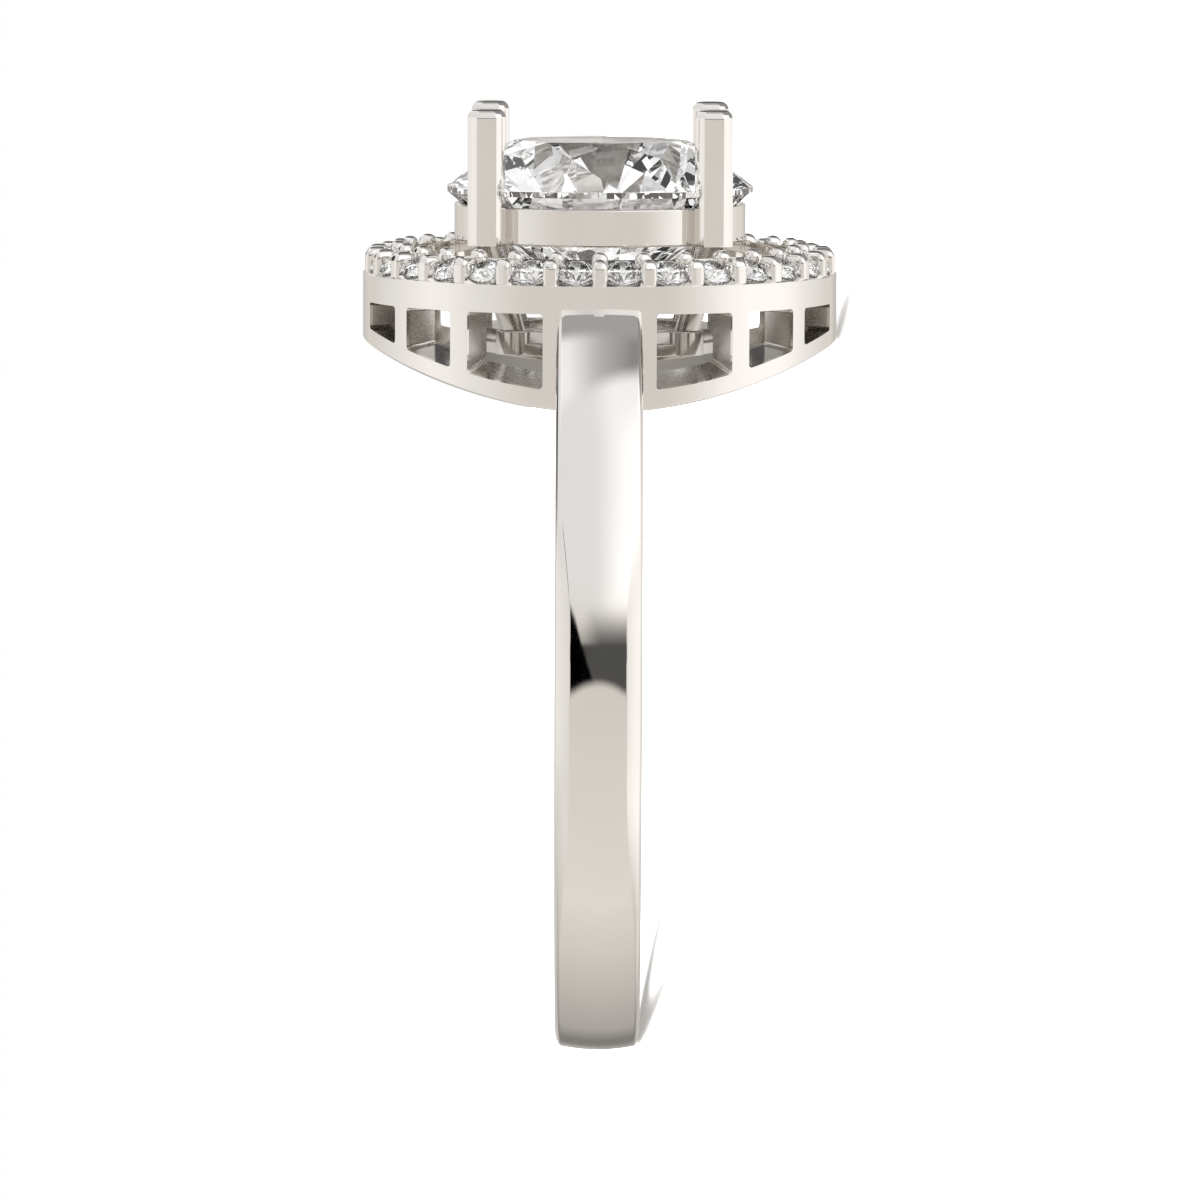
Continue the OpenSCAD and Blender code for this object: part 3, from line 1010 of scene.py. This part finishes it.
def tinted(sky, brightness):
    """Brightness as a colour: warm at the horizon, neutral above it, and half of each at the sides."""
    at_sides = sky.math("MULTIPLY", sky.ramp(sky.sideways, *NEUTRAL_SIDES), 0.5)
    neutral_share = sky.math("MAXIMUM", sky.ramp(sky.rise, *NEUTRAL_RISE), at_sides)
    node = add(sky.tree, "ShaderNodeVectorMath", operation="SCALE")
    sky.tree.links.new(mixed(sky.tree, "RGBA", neutral_share, WARM, NEUTRAL), node.inputs["Vector"])
    sky.tree.links.new(brightness, node.inputs["Scale"])
    return node.outputs["Vector"]


def seen_through_stones(tree):
    """A bright light tent with soft dark stripes, the same on the left and on the right."""
    sky = Sky(tree)
    turn = sky.degrees_from_front(sky.sideways)
    return sky.math("MULTIPLY", sky.curve(turn, TENT), sky.curve(sky.rise, TENT_HEIGHT))


def background(tree, colour):
    node = add(tree, "ShaderNodeBackground")
    connect(tree, colour, node.inputs["Color"])
    return node.outputs["Background"]


def studio():
    """The world: the mirrored sky, a light tent for the stones, and plain white for the camera."""
    world = bpy.data.worlds.new("studio")
    bpy.context.scene.world = world
    tree = node_tree(world)
    path = add(tree, "ShaderNodeLightPath")
    tent = background(tree, seen_through_stones(tree))
    surface = background(tree, mirrored_sky(tree))
    surface = mixed_shaders(tree, path.outputs["Is Transmission Ray"], surface, tent)
    surface = mixed_shaders(tree, path.outputs["Is Camera Ray"], surface, background(tree, NEUTRAL))
    add_output(tree, "ShaderNodeOutputWorld", surface)


# Dark flag close in front of the shank, which only mirrors see, in the ring's own axes. It fades out
# upwards between two heights, ends below in an arc, and softens towards its sides.
FLAG_Y = -26
FLAG_HALF_W = 7
FLAG_SIDE_SOFT = 2
FLAG_LOW_Z = -3.5
FLAG_FULL_Z = 2.2
FLAG_HIGH_Z = 7.1
FLAG_ARC_R = 8.8
FLAG_ARC_TOP_Z = -0.85
FLAG_ARC_SOFT = 0.6
# The flag's left part is black, up to a line that leans to the left, and the rest is dark grey
FLAG_BLACK_X = -1.2
FLAG_BLACK_LEAN = -0.494
FLAG_BLACK_SOFT = 0.3
FLAG_GREY = (0.09, 0.09, 0.09, 1)
# Beside the black part the grey fades lower down
FLAG_LIFT_W = 3.5
FLAG_LIFT = 1.5
# A ray that has met only one mirror has a depth below this
FIRST_MIRROR_DEPTH = 1.5


def flag_material():
    """See-through above a soft fade and below an arc; black on the left and dark grey on the right."""
    material = bpy.data.materials.new("dark_flag")
    tree = node_tree(material)
    spot = add(tree, "ShaderNodeSeparateXYZ")
    tree.links.new(add(tree, "ShaderNodeTexCoord").outputs["Object"], spot.inputs["Vector"])
    x, z = spot.outputs["X"], spot.outputs["Z"]
    from_middle = value_math(tree, "ABSOLUTE", x)
    arc_x = value_math(tree, "POWER", x, 2)
    arc_z = value_math(tree, "POWER", value_math(tree, "SUBTRACT", z, FLAG_ARC_TOP_Z - FLAG_ARC_R), 2)
    from_arc = value_math(tree, "SQRT", value_math(tree, "ADD", arc_z, arc_x))
    from_black = value_math(tree, "SUBTRACT", x, value_math(tree, "MULTIPLY", z, FLAG_BLACK_LEAN))
    is_grey = smooth_ramp(tree, from_black, FLAG_BLACK_X - FLAG_BLACK_SOFT, FLAG_BLACK_X + FLAG_BLACK_SOFT)
    near_black = smooth_ramp(tree, from_black, FLAG_BLACK_X + FLAG_LIFT_W, FLAG_BLACK_X)
    lifted = value_math(tree, "ADD", z, value_math(tree, "MULTIPLY", near_black, FLAG_LIFT))
    is_black = value_math(tree, "SUBTRACT", 1.0, is_grey)
    depth = add(tree, "ShaderNodeLightPath").outputs["Ray Depth"]
    masks = [
        smooth_ramp(tree, from_arc, FLAG_ARC_R - FLAG_ARC_SOFT, FLAG_ARC_R + FLAG_ARC_SOFT),
        value_math(tree, "MAXIMUM", smooth_ramp(tree, lifted, FLAG_HIGH_Z, FLAG_FULL_Z), is_black),
        smooth_ramp(tree, from_middle, FLAG_HALF_W, FLAG_HALF_W - FLAG_SIDE_SOFT),
        value_math(tree, "LESS_THAN", depth, FIRST_MIRROR_DEPTH),
    ]
    dark = add(tree, "ShaderNodeEmission")
    dark.inputs["Color"].default_value = FLAG_GREY
    tree.links.new(is_grey, dark.inputs["Strength"])
    clear = add(tree, "ShaderNodeBsdfTransparent")
    surface = mixed_shaders(tree, product(tree, masks), clear.outputs["BSDF"], dark.outputs["Emission"])
    add_output(tree, "ShaderNodeOutputMaterial", surface)
    return material


def seen_only_by(obj, *rays):
    for ray in ("camera", "diffuse", "glossy", "transmission", "volume_scatter", "shadow"):
        setattr(obj, f"visible_{ray}", ray in rays)


def dark_flag():
    left, right = -FLAG_HALF_W, FLAG_HALF_W
    corners = [(left, FLAG_LOW_Z), (right, FLAG_LOW_Z), (right, FLAG_HIGH_Z), (left, FLAG_HIGH_Z)]
    points = [(x, FLAG_Y, z) for x, z in corners]
    obj = add_object("dark_flag", mesh_from("dark_flag", points, [(0, 1, 2, 3)]))
    obj.matrix_world = RING
    obj.data.materials.append(flag_material())
    seen_only_by(obj, "glossy")


# Radius of the floor in metres
FLOOR_R = 0.6
FLOOR_SIDES = 72


def floor():
    """A round floor that the ring doesn't mirror."""
    step = 360 / FLOOR_SIDES
    points = [(0, 0, 0)] + [circle_point(FLOOR_R, k * step, 0) for k in range(FLOOR_SIDES)]
    faces = [(0, k + 1, (k + 1) % FLOOR_SIDES + 1) for k in range(FLOOR_SIDES)]
    obj = add_object("floor", mesh_from("floor", points, faces))
    obj.data.materials.append(floor_material())
    obj.visible_glossy = False
    obj.visible_transmission = False


def floor_light():
    """A very wide soft sun that lights the floor nearly white."""
    data = bpy.data.lights.new("floor_light", "SUN")
    data.energy = 12
    data.angle = math.radians(170)
    obj = bpy.data.objects.new("floor_light", data)
    bpy.context.scene.collection.objects.link(obj)
    obj.visible_glossy = False
    obj.visible_transmission = False


# Camera, as fitted to the photograph's outlines: millimetres and degrees in the ring's axes
CAMERA_DISTANCE = 182.1
CAMERA_PITCH = 6.273
CAMERA_ROLL = -0.231
CAMERA_TARGET = (0.034, 0, 1.775)
CAMERA_LENS = 207.6


def camera():
    pitch, roll = math.radians(CAMERA_PITCH), math.radians(CAMERA_ROLL)
    backwards = Vector((0, -math.cos(pitch), math.sin(pitch)))
    flat_right = Vector((1, 0, 0))
    flat_up = backwards.cross(flat_right)
    right = flat_right * math.cos(roll) - flat_up * math.sin(roll)
    up = flat_right * math.sin(roll) + flat_up * math.cos(roll)
    data = bpy.data.cameras.new("camera")
    data.sensor_width = 36
    data.lens = CAMERA_LENS
    data.clip_start = 0.005
    data.clip_end = 10
    obj = bpy.data.objects.new("camera", data)
    bpy.context.scene.collection.objects.link(obj)
    axes = RING_TURN @ Matrix((right, up, backwards)).transposed()
    spot = RING @ (Vector(CAMERA_TARGET) + backwards * CAMERA_DISTANCE)
    obj.matrix_world = Matrix.Translation(spot) @ axes.to_4x4()
    bpy.context.scene.camera = obj


def render_settings():
    scene = bpy.context.scene
    scene.view_settings.view_transform = "Standard"
    scene.cycles.use_denoising = True
    scene.cycles.max_bounces = 24
    scene.cycles.glossy_bounces = 10
    scene.cycles.transmission_bounces = 20
    scene.cycles.caustics_reflective = True
    scene.cycles.caustics_refractive = True


studio()
dark_flag()
floor()
floor_light()
camera()
render_settings()
